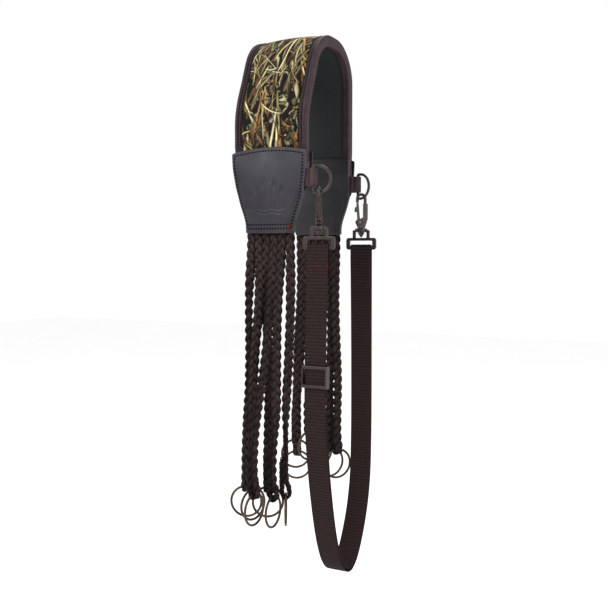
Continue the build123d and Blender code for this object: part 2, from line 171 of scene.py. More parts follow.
def nurbs_line(route, step):
    """Points down the smooth line that has this route as its control points."""
    curve = bpy.data.curves.new("route", "CURVE")
    curve.dimensions = "3D"
    curve.resolution_u = 32
    spline = curve.splines.new("NURBS")
    spline.points.add(len(route) - 1)
    for control, place in zip(spline.points, route):
        control.co = (*place, 1)
    spline.order_u = 3
    spline.use_endpoint_u = True
    carrier = bpy.data.objects.new("route", curve)
    mesh = bpy.data.meshes.new_from_object(carrier)
    line = np.array([vertex.co for vertex in mesh.vertices])
    bpy.data.meshes.remove(mesh)
    bpy.data.objects.remove(carrier)
    bpy.data.curves.remove(curve)
    return spaced(line, step)


# ---- materials -------------------------------------------------------------------------------
class Shader:
    """A material with one Principled shader, and short calls for the nodes that feed it."""

    def __init__(self, name, **values):
        self.material = bpy.data.materials.new(name)
        self.material.use_nodes = True
        self.tree = self.material.node_tree
        self.shader = next(n for n in self.tree.nodes if n.type == "BSDF_PRINCIPLED")
        for key, value in values.items():
            self.shader.inputs[key.replace("_", " ")].default_value = value

    def add(self, kind, inputs=(), **settings):
        node = self.tree.nodes.new("ShaderNode" + kind)
        for key, value in settings.items():
            setattr(node, key, value)
        for key, value in dict(inputs).items():
            self.feed(node.inputs[key], value)
        return node

    def feed(self, socket, value):
        if isinstance(value, bpy.types.NodeSocket):
            self.tree.links.new(value, socket)
        else:
            socket.default_value = value

    def set(self, key, value):
        self.feed(self.shader.inputs[key], value)

    def place(self):
        """Object coordinates, in metres."""
        return self.add("TexCoord").outputs["Object"]

    def cloth(self):
        """Distances across and along a strip of cloth, in millimetres, as a vector."""
        across = self.add("Attribute", attribute_name="across_mm").outputs["Fac"]
        along = self.add("Attribute", attribute_name="along_mm").outputs["Fac"]
        return self.add("CombineXYZ", {"X": across, "Y": along}).outputs[0]

    def noise(self, where, scale, detail=3.0, roughness=0.55):
        inputs = {"Vector": where, "Scale": scale, "Detail": detail, "Roughness": roughness}
        return self.add("TexNoise", inputs).outputs["Fac"]

    def ramp(self, value, *stops):
        """Colours at places from 0 to 1."""
        node = self.add("ValToRGB", {"Fac": value})
        elements = node.color_ramp.elements
        while len(elements) < len(stops):
            elements.new(0.5)
        for element, (at, shade) in zip(elements, stops):
            element.position = at
            element.color = shade
        return node.outputs["Color"]

    def span(self, value, low, high, start=0.0, end=1.0):
        inputs = {"Value": value, "From Min": start, "From Max": end, "To Min": low, "To Max": high}
        return self.add("MapRange", inputs).outputs[0]

    def math(self, operation, a, b=0.0):
        return self.add("Math", {0: a, 1: b}, operation=operation).outputs[0]

    def grey(self, value):
        return self.add("CombineColor", {"Red": value, "Green": value, "Blue": value}).outputs[0]

    def blend(self, factor, a, b, kind="MIX"):
        node = self.add("Mix", data_type="RGBA", blend_type=kind)
        for socket, value in ((0, factor), (6, a), (7, b)):
            self.feed(node.inputs[socket], value)
        return node.outputs[2]

    def bump(self, height, strength, distance_mm):
        """Adds relief to what is already there."""
        inputs = {"Height": height, "Strength": strength, "Distance": distance_mm * MM}
        normal = self.shader.inputs["Normal"]
        if normal.links:
            inputs["Normal"] = normal.links[0].from_socket
        self.feed(normal, self.add("Bump", inputs).outputs[0])


def camo_material():
    """Printed fabric: the print is painted on the mesh, the weave is relief."""
    m = Shader("camo_print", Roughness=0.85)
    m.shader.inputs["Specular IOR Level"].default_value = 0.15
    print_colour = m.add("Attribute", attribute_name="print").outputs["Color"]
    cloth = m.cloth()
    weave = m.add("TexVoronoi", {"Vector": cloth, "Scale": 1.6}, feature="DISTANCE_TO_EDGE").outputs[0]
    speckle = m.span(m.noise(cloth, 1.1, 2.0), 0.62, 0.92, 0.3, 0.7)
    shade = m.grey(speckle)
    m.set("Base Color", m.blend(1.0, print_colour, shade, "MULTIPLY"))
    m.bump(weave, 0.35, 0.25)
    m.bump(m.noise(cloth, 0.16, 2.0), 0.25, 0.9)
    return m.material


def lining_material():
    """Charcoal spacer mesh: fine round holes in rows."""
    m = Shader("lining_mesh", Roughness=0.95)
    m.shader.inputs["Specular IOR Level"].default_value = 0.1
    cloth = m.cloth()
    holes = m.add("TexVoronoi", {"Vector": cloth, "Scale": 0.62, "Randomness": 0.12}).outputs[0]
    mesh = m.span(holes, 0.0, 1.0, 0.14, 0.42)
    m.set("Base Color", m.ramp(mesh, (0.0, paint(18, 20, 20)), (1.0, paint(45, 48, 49))))
    m.bump(mesh, 0.6, 0.5)
    m.bump(m.noise(cloth, 0.05, 3.0), 0.5, 2.0)
    return m.material


def tape_material(name, dark, light, rib_pitch):
    """Grosgrain binding: fine ribs across the tape, a satin sheen, and painted shade that darkens the flat
    inner band beside the roll.
    """
    m = Shader(name, Roughness=0.5, Sheen_Weight=0.05, Sheen_Roughness=0.35)
    m.shader.inputs["Specular IOR Level"].default_value = 0.16
    m.shader.inputs["Sheen Tint"].default_value = paint(200, 120, 150)
    cloth = m.cloth()
    along = m.add("SeparateXYZ", {0: cloth}).outputs[1]
    rib = m.math("SINE", m.math("MULTIPLY", along, 2 * pi / rib_pitch))
    cloud = m.noise(cloth, 0.09, 4.0)
    tape = m.ramp(cloud, (0.3, dark), (0.75, light))
    # Painted shade: the tape is darkened to 0.55 over its first 3.4 mm across, the flat inner band, rising to
    # full at 6.2 mm, so the roll beyond reads lighter.
    across = m.add("SeparateXYZ", {0: cloth}).outputs[0]
    band = m.span(across, 0.55, 1.0, 3.4, 6.2)
    shade = m.grey(band)
    m.set("Base Color", m.blend(1.0, tape, shade, "MULTIPLY"))
    m.set("Roughness", m.span(m.noise(cloth, 0.5), 0.42, 0.62, 0.3, 0.7))
    m.bump(rib, 0.25, 0.12)
    m.bump(cloud, 0.3, 1.2)
    return m.material


def leather_material(name, dark, light, grain=520.0, rough=(0.36, 0.56)):
    """Oiled leather: pebbled grain, pores and a satin finish that varies."""
    m = Shader(name, Coat_Weight=0.0)
    m.shader.inputs["Specular IOR Level"].default_value = 0.28
    where = m.place()
    cloud = m.noise(where, 34.0, 5.0)
    m.set("Base Color", m.ramp(cloud, (0.32, dark), (0.7, light)))
    m.set("Roughness", m.span(m.noise(where, 85.0, 4.0), rough[0], rough[1], 0.3, 0.7))
    pebble = m.add("TexVoronoi", {"Vector": where, "Scale": grain}, feature="SMOOTH_F1").outputs[0]
    m.bump(pebble, 0.22, 0.22)
    m.bump(m.noise(where, 1300.0, 3.0), 0.12, 0.12)
    m.bump(m.noise(where, 42.0, 3.0), 0.25, 1.2)
    return m.material


def thread_material(name, dark, light):
    """Waxed thread with its own twist."""
    m = Shader(name, Roughness=0.9)
    m.shader.inputs["Specular IOR Level"].default_value = 0.05
    where = m.place()
    m.set("Base Color", m.ramp(m.noise(where, 700.0), (0.3, dark), (0.75, light)))
    m.bump(m.noise(where, 1800.0, 2.0), 0.5, 0.1)
    return m.material


def braid_material():
    """Dark leather-brown cord: each strand is twisted yarn with fine slanting plies, with painted shade in
    the ply grooves and in the crevices between strands.
    """
    m = Shader("braid", Roughness=0.75)
    m.shader.inputs["Specular IOR Level"].default_value = 0.1
    cloth = m.cloth()
    split = m.add("SeparateXYZ", {0: cloth})
    turn = m.math("MULTIPLY", split.outputs[0], 1.0)
    run = m.math("MULTIPLY", split.outputs[1], 2 * pi / 1.9)
    ply = m.math("SINE", m.math("ADD", run, m.math("MULTIPLY", turn, 4.0)))
    cloud = m.noise(m.place(), 160.0, 4.0)
    yarn = m.ramp(cloud, (0.3, paint(34, 26, 25)), (0.72, paint(58, 45, 43)))
    # Painted shade: the grooves between the plies are darkened to 0.7 of the yarn colour.
    groove = m.span(ply, 0.7, 1.0, -1.0, 0.2)
    shade = m.grey(groove)
    plied = m.blend(1.0, yarn, shade, "MULTIPLY")
    # Painted shade: points low in the braid, in the crevices between strands and at their sides, are
    # darkened, down to 0.16.
    crevice_shade = m.span(m.add("Attribute", attribute_name="crevice_shade").outputs["Fac"], 0.16, 1.0, 0.25, 0.9)
    depth = m.grey(crevice_shade)
    m.set("Base Color", m.blend(1.0, plied, depth, "MULTIPLY"))
    m.bump(ply, 0.55, 0.28)
    m.bump(m.noise(m.place(), 2200.0, 2.0), 0.35, 0.12)
    return m.material


def webbing_material():
    """Brown ribbed webbing: yarns run along it over the ribs that the mesh carries, with painted shade in the
    valleys between ribs and painted light and shade on the yarn crossings.
    """
    m = Shader("webbing_weave", Roughness=0.78)
    m.shader.inputs["Specular IOR Level"].default_value = 0.08
    cloth = m.cloth()
    split = m.add("SeparateXYZ", {0: cloth})
    yarn = m.math("SINE", m.math("MULTIPLY", split.outputs[0], 2 * pi / 0.85))
    pick = m.math("SINE", m.math("MULTIPLY", split.outputs[1], 2 * pi / 1.2))
    cloud = m.noise(cloth, 0.35, 4.0)
    base = m.ramp(cloud, (0.3, paint(33, 23, 23)), (0.72, paint(43, 31, 31)))
    # Painted light and shade on the weave: a checker over the yarn crossings, darker where yarns dip and
    # lighter where they rise, from 0.82 to 1.08.
    shade = m.span(m.math("MULTIPLY", yarn, pick), 0.82, 1.08, -1.0, 1.0)
    tint = m.grey(shade)
    woven = m.blend(1.0, base, tint, "MULTIPLY")
    # Painted shade: the valleys between the ribs are darkened down to 0.42, and the rib tops lightened to
    # 1.06.
    rib = m.math("ABSOLUTE", m.math("SINE", m.math("MULTIPLY", split.outputs[1], pi / RIB_PITCH)))
    valley = m.span(rib, 0.42, 1.06, 0.0, 0.65)
    shadow = m.grey(valley)
    m.set("Base Color", m.blend(1.0, woven, shadow, "MULTIPLY"))
    m.bump(yarn, 0.3, 0.12)
    m.bump(m.noise(cloth, 2.4, 3.0), 0.3, 0.2)
    return m.material


def metal_material(name, dark, light, rough, metallic=1.0, bump=0.15):
    """Cast or drawn metal: a mottled finish, darker where it has tarnished."""
    m = Shader(name, Metallic=metallic)
    where = m.place()
    cloud = m.noise(where, 120.0, 5.0, 0.65)
    m.set("Base Color", m.ramp(cloud, (0.32, dark), (0.68, light)))
    m.set("Roughness", m.span(m.noise(where, 260.0, 4.0), rough[0], rough[1], 0.3, 0.7))
    m.bump(m.noise(where, 420.0, 4.0), bump, 0.35)
    return m.material


def foam_material():
    m = Shader("foam_cells", Roughness=0.95)
    cells = m.add("TexVoronoi", {"Vector": m.place(), "Scale": 900.0}).outputs[0]
    m.set("Base Color", m.ramp(cells, (0.0, paint(30, 30, 32)), (0.6, paint(72, 72, 76))))
    m.bump(cells, 0.6, 0.5)
    return m.material


def studio_material():
    m = Shader("studio_paper", Roughness=0.9)
    shade = m.noise(m.place(), 3.0)
    m.set("Base Color", m.ramp(shade, (0.3, (0.95, 0.95, 0.95, 1)), (0.7, (0.97, 0.97, 0.97, 1))))
    return m.material


CAMO = camo_material()
LINING = lining_material()
BINDING = tape_material("binding_grosgrain", paint(36, 25, 28), paint(56, 38, 44), 1.1)
TAB = tape_material("tab_webbing", paint(44, 32, 33), paint(66, 50, 51), 1.3)
LEATHER = leather_material("leather_black_brown", paint(23, 21, 26), paint(38, 36, 43))
LEATHER_EDGE = leather_material("leather_edge", paint(40, 30, 36), paint(64, 52, 60), 700.0, (0.4, 0.6))
LEATHER_BACK = leather_material("leather_back", paint(22, 20, 23), paint(31, 29, 32), 420.0, (0.5, 0.7))
THREAD = thread_material("thread_dark", paint(8, 5, 6), paint(22, 15, 17))
RED_THREAD = thread_material("thread_red", paint(84, 24, 22), paint(128, 48, 42))
BRAID = braid_material()
WEBBING = webbing_material()
BRASS = metal_material("antique_brass", paint(42, 32, 24), paint(84, 67, 49), (0.26, 0.44), 0.8)
HARDWARE = metal_material("brown_coated", paint(42, 31, 31), paint(54, 41, 41), (0.28, 0.38), 0.45, 0.06)
SPRING_STEEL = metal_material("spring_steel", paint(70, 60, 56), paint(120, 108, 100), (0.2, 0.36))
FOAM = foam_material()


# ---- the arch that the pad follows -----------------------------------------------------------
def arch_line(step):
    """The underside's side view from the front leg's foot to the back leg's, and the way out of it."""
    slope = (SLOPE_RUN**2 + SLOPE_RISE**2) ** 0.5
    out_y, out_z = -SLOPE_RISE / slope, SLOPE_RUN / slope
    base_y = FRONT_OUTER_Y - PAD_THICKNESS * out_y
    base_z = PAD_END_Z + HIP_HEIGHT - PAD_THICKNESS * out_z
    hip_z = base_z + (-LEG_FRONT_Y - base_y) * SLOPE_RISE / SLOPE_RUN
    top_y = base_y - base_z * SLOPE_RUN / SLOPE_RISE
    corners = [(-LEG_FRONT_Y, PAD_END_Z), (-LEG_FRONT_Y, hip_z), (top_y, 0)]
    corners += [(LEG_BACK_Y, 0), (LEG_BACK_Y, PAD_END_Z)]
    corners = [np.array(c, float) for c in corners]
    points = [corners[0]]
    for before, corner, after, radius in zip(corners, corners[1:], corners[2:], SHOULDER_RADII):
        a, b = unit(before - corner), unit(after - corner)
        half = np.arccos(a @ b) / 2
        centre = corner + unit(a + b) * radius / sin(half)
        start = corner + a * radius / tan(half) - centre
        turn = -(pi - 2 * half)
        for angle in np.linspace(0, turn, 48):
            c, s = cos(angle), sin(angle)
            points.append(centre + np.array([c * start[0] - s * start[1], s * start[0] + c * start[1]]))
    points.append(corners[-1])
    line = spaced(np.array(points), step)
    tangent = unit(np.gradient(line, axis=0))
    return line, np.stack([-tangent[:, 1], tangent[:, 0]], axis=1)


def on_arch(line, out, x, offset):
    """Points in space for a table of places across the pad and offsets out of its underside."""
    yz = line[:, None] + out[:, None] * offset[..., None]
    return np.concatenate([np.broadcast_to(x, offset.shape)[..., None], yz], axis=-1)


# ---- the camo print --------------------------------------------------------------------------
PRINT_STEP = 0.62
STRAWS = [(206, 190, 134), (224, 212, 166), (178, 156, 100), (150, 130, 84)]
STEMS = [(150, 104, 52), (118, 82, 42), (168, 128, 74), (96, 70, 42), (80, 56, 34)]
LEAVES = [(140, 138, 104), (112, 110, 82), (92, 86, 62), (160, 156, 122), (72, 66, 48)]
REEDS = [(150, 138, 100), (124, 110, 76), (168, 156, 116), (104, 88, 58)]
SHADOWS = [(18, 14, 10), (30, 22, 15), (10, 9, 7), (42, 30, 20)]


def blade(canvas, rng, start, heading, length, width, bend, tint, shadow=0.6):
    """One leaf or stem, laid over what is painted, with its shade beside it."""
    rows, columns = canvas.shape[:2]
    ahead = np.array([cos(heading), sin(heading)])
    side = np.array([-ahead[1], ahead[0]])
    ends = np.array([start, start + ahead * length, start + ahead * length / 2 + side * bend])
    low = np.floor((ends.min(0) - width - 2) / PRINT_STEP).astype(int)
    high = np.ceil((ends.max(0) + width + 2) / PRINT_STEP).astype(int)
    low, high = np.maximum(low, 0), np.minimum(high, [rows, columns])
    if (high <= low).any():
        return
    grid = np.stack(np.meshgrid(*[np.arange(a, b) for a, b in zip(low, high)], indexing="ij"), axis=-1)
    rel = grid * PRINT_STEP - start
    t = (rel @ ahead) / length
    inside = np.clip(t, 0, 1)
    off = rel @ side - bend * 4 * inside * (1 - inside)
    half = width / 2 * (1 - np.abs(2 * inside - 1) ** 3) ** 0.6
    window = canvas[low[0] : high[0], low[1] : high[1]]
    along = (t > 0) & (t < 1)
    dark = np.clip((half + 0.9 - np.abs(off - 0.8)) / 0.9, 0, 1) * along * shadow
    window *= (1 - dark)[..., None]
    cover = np.clip((half - np.abs(off)) / PRINT_STEP + 0.5, 0, 1) * along
    lateral = np.clip(off / np.maximum(half, 0.2), -1, 1)
    streak = 0.12 * np.sin(lateral * rng.uniform(3, 7) + rng.uniform(0, 6))
    wear = 0.16 * np.sin(t * rng.uniform(4, 14) + rng.uniform(0, 6))
    light = 1 - 0.32 * np.clip(lateral, 0, 1) + 0.12 * (lateral < -0.2) + streak + wear
    window += (colour(*tint) * light[..., None] - window) * cover[..., None]


def camo_print(rows, columns):
    """Dead reeds, grasses and leaf litter, as colours in rows along the cover."""
    rng = np.random.default_rng(11)
    length, width = rows * PRINT_STEP, columns * PRINT_STEP
    canvas = np.empty((rows, columns, 3))
    canvas[:] = colour(20, 15, 11)

    def scatter(count, tints, lengths, widths, lean, bends, shadow):
        for _ in range(count):
            start = rng.uniform([-20, -12], [length + 10, width + 12])
            heading = rng.normal(0, lean) + (pi if rng.random() < 0.5 else 0)
            tint = np.clip(np.array(tints[rng.integers(len(tints))]) * rng.uniform(0.8, 1.12), 0, 255)
            size = rng.uniform(*lengths)
            bend = rng.uniform(-bends, bends) * size
            blade(canvas, rng, start, heading, size, rng.uniform(*widths), bend, tint, shadow)

    area = length * width / 1000
    scatter(int(8 * area), LEAVES, (5, 16), (3.0, 7.5), 1.0, 0.12, 0.5)
    scatter(int(12 * area), LEAVES, (3, 9), (1.2, 3.2), 1.2, 0.2, 0.6)
    scatter(int(16 * area), SHADOWS, (5, 20), (1.2, 4.6), 0.8, 0.15, 0.4)
    scatter(int(2.4 * area), REEDS, (24, 70), (3.6, 6.4), 0.2, 0.05, 0.85)
    scatter(int(3.2 * area), STEMS, (20, 66), (1.8, 4.0), 0.3, 0.07, 0.85)
    scatter(int(9 * area), SHADOWS, (8, 30), (0.9, 2.6), 0.35, 0.1, 0.3)
    scatter(int(7 * area), LEAVES + STEMS, (5, 16), (0.8, 1.6), 1.2, 0.2, 0.7)
    scatter(int(2.6 * area), STRAWS, (20, 64), (1.2, 2.3), 0.4, 0.06, 0.85)
    scatter(int(5.5 * area), STRAWS, (8, 36), (0.6, 1.1), 0.85, 0.12, 0.8)
    scatter(int(0.5 * area), [(140, 74, 40), (122, 58, 34)], (3, 8), (0.8, 1.6), 1.2, 0.2, 0.5)
    scatter(int(0.2 * area), [(86, 104, 44)], (8, 16), (0.9, 1.6), 0.8, 0.1, 0.5)
    return canvas


# ---- the padded saddle -----------------------------------------------------------------------
BODY_HALF = PAD_HALF - BINDING_THICKNESS - 0.1


def slab_on_arch(step, columns, top, bottom):
    """A closed slab along the arch: a shaped face on one side and a plain one on the other."""
    line, out = arch_line(step)
    along = lengths_along(line)
    x = np.linspace(-BODY_HALF, BODY_HALF, columns)
    shaped = on_arch(line, out, x[None], top(x[None], along[:, None]))
    plain = on_arch(line, out, x[None, [0, -1]], np.full((len(line), 2), bottom))
    rows = len(line)
    points = np.concatenate([shaped.reshape(-1, 3), plain.reshape(-1, 3)])
    outward = top(np.zeros((1, 1)), np.zeros((1, 1)))[0, 0] > bottom
    faces = strip_faces(rows, columns, flip=outward).tolist()
    low = rows * columns + 2 * np.arange(rows)
    face_ring = np.arange(rows) * columns
    walls = []
    for a, b in zip(range(rows - 1), range(1, rows)):
        walls.append([low[a], low[b], low[b] + 1, low[a] + 1])
        walls.append([face_ring[a], face_ring[b], low[b], low[a]])
        far = columns - 1
        walls.append([low[a] + 1, low[b] + 1, face_ring[b] + far, face_ring[a] + far])
    foot = list(range(columns)) + [low[0] + 1, low[0]]
    heel = list(range((rows - 1) * columns, rows * columns))[::-1] + [low[-1], low[-1] + 1]
    for wall in [*walls, foot, heel]:
        wall = [int(i) for i in wall]
        faces.append(wall if outward else wall[::-1])
    flat = np.broadcast_to(x, (rows, columns)).ravel(), np.repeat(along, columns)
    ends = np.tile(x[[0, -1]], rows), np.repeat(along, 2)
    flat_map = [np.concatenate([a, b]) for a, b in zip(flat, ends)]
    return points, faces, flat_map, (rows, columns)


ARCH_LENGTH = lengths_along(arch_line(1.0)[0])[-1]
LEG_COVER = YOKE_TOP_Z - PAD_END_Z  # the length of each leg inside a yoke


def under_leather(along):
    """1 where a yoke's leather lies on the pad, 0 a little way above it."""
    near_foot = smooth((LEG_COVER + 9 - along) / 9)
    near_heel = smooth((along - ARCH_LENGTH + LEG_COVER + 9) / 9)
    return np.maximum(near_foot, near_heel)


def crown(x, along):
    """The pad's outer face: it swells between the bindings and is held down by them."""
    swell = 1 - (x / (PAD_HALF - BINDING_LIP)) ** 2
    height = 3.5 * np.clip(swell, 0, 1) ** 0.5 - 0.4 * smooth(1 - np.abs(swell) * 6)
    ripple = 0.22 * np.sin(along / 17 + x / 23) * np.sin(along / 41 + 1.3)
    height = (height + ripple * (swell > 0)) * (1 - under_leather(along))
    return PAD_THICKNESS + height - 0.15


def inner_face(x, along):
    """The lining: taut between the bindings, with faint creases where the arch bends."""
    crease = 0.35 * np.sin(along / 3.1 + np.sin(x / 15)) * np.exp(-((along - ARCH_LENGTH * 0.52) / 38) ** 2)
    quilt = 0.5 * np.clip(1 - (x / 38) ** 2, 0, 1) * (1 - under_leather(along))
    return -0.1 - quilt + crease * 0.6


points, faces, flat_map, (rows, columns) = slab_on_arch(
    PRINT_STEP, round(2 * BODY_HALF / PRINT_STEP) + 1, crown, LINING_THICKNESS
)
pad = piece(
    "camo_pad", points, faces, "shoulder_strap", CAMO, ("camo_cover", "foam_pad"), flat_map
)
colours = np.ones((len(points), 4), np.float32)
colours[:, :3] = 0.02
colours[: rows * columns, :3] = camo_print(rows, columns).reshape(-1, 3)
layer = pad.data.color_attributes.new("print", "FLOAT_COLOR", "POINT")
layer.data.foreach_set("color", colours.ravel())

points, faces, flat_map, _ = slab_on_arch(1.1, 72, inner_face, LINING_THICKNESS)
piece("lining_mesh", points, faces, "shoulder_strap", LINING, ("lining",), flat_map)


# ---- stitches --------------------------------------------------------------------------------
def stitches(line, out, pitch, length, radius, sink=0.3):
    """Thread showing above a surface, one stitch after another along a line."""
    along = lengths_along(line)
    count = max(1, int(along[-1] / pitch))
    middles = (np.arange(count) + 0.5) * along[-1] / count
    shape = [(-0.5, 0.35, -sink), (-0.3, 0.9, 0.1), (0.0, 1.0, 0.25), (0.3, 0.9, 0.1), (0.5, 0.35, -sink)]
    parts = []
    for middle in middles:
        at = middle + np.array([s[0] for s in shape]) * length
        centre = np.stack([np.interp(at, along, line[:, k]) for k in range(3)], axis=1)
        up = unit(np.stack([np.interp(at, along, out[:, k]) for k in range(3)], axis=1))
        ahead = unit(np.gradient(centre, axis=0))
        side = np.cross(ahead, up)
        angle = np.linspace(0, 2 * pi, 6, endpoint=False)
        size = np.array([s[1] for s in shape])[:, None, None] * radius
        lift = np.array([s[2] for s in shape])[:, None, None] * radius
        ring = side[:, None] * np.cos(angle)[None, :, None] + up[:, None] * np.sin(angle)[None, :, None]
        body = centre[:, None] + ring * size + up[:, None] * lift
        grid = strip_faces(len(shape), 6, closed=True, flip=True).tolist()
        grid += [list(range(6)), list(range(4 * 6, 5 * 6))[::-1]]
        parts.append((body.reshape(-1, 3), grid))
    return merged(parts)


def bar_tack(centre, along, out, length, width, body, name):
    """A short dense bar of thread across a seam."""
    turns = int(length / 0.62)
    side = np.cross(out, along)
    parts = []
    for turn in range(turns):
        middle = centre + along * ((turn + 0.5) / turns - 0.5) * length
        ends = np.array([middle - side * width / 2, middle, middle + side * width / 2])
        parts.append(stitches(ends, np.tile(out, (3, 1)), width, width, 0.36))
    points, faces = merged(parts)
    return piece(name, points, faces, body, RED_THREAD)


# ---- bindings --------------------------------------------------------------------------------
def binding_profile(side):
    """The tape's section, as x and offset: a flat band, a sewn groove and a roll round the edge."""
    lip = PAD_HALF - BINDING_LIP
    top = PAD_THICKNESS
    seam = lip + 4.6
    t = np.linspace(0, pi, 9)
    band = np.stack([np.linspace(lip, seam - 0.3, 9), top + 0.2 + 1.15 * np.sin(t) ** 0.5], 1)
    turn = np.linspace(0.94 * pi, 0, 12)
    roll = np.stack([seam + 2.15 + 1.95 * np.cos(turn), top + 0.15 + 1.75 * np.sin(turn) ** 0.7], 1)
    edge = np.stack([PAD_HALF - 0.2 + 0.55 * np.sin(t) ** 0.8, np.linspace(top + 0.6, -0.6, 9)], 1)
    under_roll = np.stack([roll[::-1, 0], -0.6 - 1.1 * np.sin(turn[::-1]) ** 0.8], 1)
    under_band = np.stack([band[::-1, 0], -1.0 - 0.5 * np.sin(t) ** 0.6], 1)
    back = np.array([(lip, 0.0), (PAD_HALF - 2.2, 0.1), (PAD_HALF - 2.2, top - 0.1), (lip, top)])
    profile = np.concatenate([band, roll, edge, under_roll, under_band, back])
    profile[:, 0] *= side
    return profile


def make_binding(side, name, node):
    line, out = arch_line(1.4)
    along = lengths_along(line)
    keep = (along > 0.5) & (along < along[-1] - 0.5)
    line, out, along = line[keep], out[keep], along[keep]
    profile = binding_profile(side)
    wander = 0.12 * np.sin(along / 6.3 + side) * np.sin(along / 19)
    offset = np.broadcast_to(profile[:, 1], (len(line), len(profile))).copy()
    proud = np.maximum(offset - PAD_THICKNESS, 0)
    offset += proud * (wander * (1 - under_leather(along)) - under_leather(along))[:, None]
    sunk = np.minimum(offset + 1.2, 0)
    offset -= sunk * under_leather(along)[:, None]
    points = on_arch(line, out, profile[None, :, 0], offset)
    rows, columns = points.shape[:2]
    faces = strip_faces(rows, columns, closed=True, flip=side < 0).tolist()
    caps = [list(range(columns)), list(range((rows - 1) * columns, rows * columns))[::-1]]
    faces += caps if side > 0 else [cap[::-1] for cap in caps]
    flat = np.tile(lengths_along(profile), rows), np.repeat(along, columns)
    piece(name, points.reshape(-1, 3), faces, "shoulder_strap", BINDING, (node,), flat)
    threads = []
    shown = under_leather(along) < 0.02
    for offset, inward, facing in (
        (PAD_THICKNESS + 1.3, 1.1, 1),
        (PAD_THICKNESS + 0.5, 4.45, 1),
        (-1.35, 1.2, -1),
    ):
        x = side * (PAD_HALF - BINDING_LIP + inward)
        seam = on_arch(line[shown], out[shown], np.array([[x]]), np.full((shown.sum(), 1), offset))[:, 0]
        up = np.concatenate([np.zeros((shown.sum(), 1)), out[shown] * facing], axis=1)
        threads.append(stitches(seam, up, 3.3, 2.1, 0.6))
    points, faces = merged(threads)
    piece(f"{name}_stitches", points, faces, "shoulder_strap", THREAD)


make_binding(-1, "binding_tape_left", "binding_left")
make_binding(1, "binding_tape_right", "binding_right")


# ---- leather yokes ---------------------------------------------------------------------------
YOKE_TOP_HALF = 46.0
YOKE_SIDE = [
    (46.0, -123.0),
    (45.0, -145.0),
    (42.6, -162.0),
    (38.0, -179.0),
    (33.0, -192.5),
    (30.6, -201.0),
    (30.5, -211.0),
]
TOP_RISE = 5.5


def yoke_half_width(z):
    """The yoke's half width at a height, smooth through its driving points."""
    heights = [-p[1] for p in YOKE_SIDE]
    widths = [p[0] for p in YOKE_SIDE]
    fine = np.linspace(-7, 7, 15)
    samples = [np.interp(-z + shift, heights, widths) for shift in fine]
    weights = np.exp(-(fine / 4.0) ** 2)
    return np.average(np.array(samples), axis=0, weights=weights)


def yoke_grid(rows, columns, rise):
    """x and z of a grid over the yoke's outline, and each point's distance from its edges."""
    a = np.sin(np.linspace(-pi / 2, pi / 2, columns) * 0.96) / sin(pi / 2 * 0.96)
    b = (1 - np.cos(np.linspace(0.06, 1, rows) * pi)) / 2
    b = (b - b[0]) / (b[-1] - b[0])
    b, a = np.meshgrid(b, a, indexing="ij")
    top = YOKE_TOP_Z + rise * (1 - a**2) - 1.2 * smooth((np.abs(a) - 0.97) / 0.03)
    hem = YOKE_HEM_Z + 1.0 * smooth((np.abs(a) - 0.93) / 0.07)
    z = top + (hem - top) * b
    half = yoke_half_width(z)
    x = a * half
    return x, z, half - np.abs(x), top - z, z - hem


def groove(distance, depth=0.15, width=0.7):
    return -depth * np.exp(-((distance / width) ** 2))


def reed_motif(x, z):
    """How deep a plain motif of reeds over water is pressed: 0 to 1. It is nobody's mark."""
    depth = np.zeros_like(x)
    for foot, height, lean in ((-9, 25, -7), (-3, 32, -2), (4, 29, 4), (10, 22, 9)):
        t = np.clip((z + 184) / height, 0, 1)
        stem = np.abs(x - foot - lean * t**2)
        depth = np.maximum(depth, np.exp(-((stem / 0.5) ** 2)) * (z > -184) * (z < -184 + height))
        head = np.hypot((x - foot - lean * 0.86) / 1.7, (z + 184 - height * 0.86) / 4.4)
        depth = np.maximum(depth, np.clip(1.6 - head, 0, 1))
    for level, reach in ((-185, 21), (-189, 15)):
        wave = np.abs(z - level - 0.8 * np.sin(x / 2.6))
        depth = np.maximum(depth, np.exp(-((wave / 0.5) ** 2)) * (np.abs(x) < reach))
    return depth


def closed_sheet(outer, inner):
    """A solid sheet between two grids of points with the same rows and columns."""
    rows, columns = outer.shape[:2]
    count = rows * columns
    faces = strip_faces(rows, columns).tolist()
    faces += (strip_faces(rows, columns, flip=True) + count).tolist()
    index = np.arange(count).reshape(rows, columns)
    rim = [*index[0, :-1], *index[:-1, -1], *index[-1, :0:-1], *index[:0:-1, 0]]
    for a, b in zip(rim, rim[1:] + rim[:1]):
        faces.append([int(b), int(a), int(a) + count, int(b) + count])
    return np.concatenate([outer.reshape(-1, 3), inner.reshape(-1, 3)]), faces


def liner_y(z, facing, outer_y):
    """Where the inner leather's near face lies: on the pad, then closed up on the cords."""
    pad_face = PAD_THICKNESS + BINDING_THICKNESS + 0.1
    t = smooth((PAD_END_Z - z) / 22)
    return outer_y - facing * (pad_face + (CORD_POCKET - pad_face) * t)


def edge_curl(x, z, half, gap, tab_side):
    """How far each leather's side edge bends over towards the other below the pad."""
    closing = smooth((PAD_END_Z + 1 - z) / 34) * smooth((9.0 - (half - np.abs(x))) / 9)
    limit = gap / 2 - 0.05
    beside_tab = smooth((z - PAD_END_Z + 29) / 4) * smooth((PAD_END_Z - z) / 3) * (x * tab_side > 0)
    return closing * (limit - beside_tab * np.minimum(limit, 2.15))


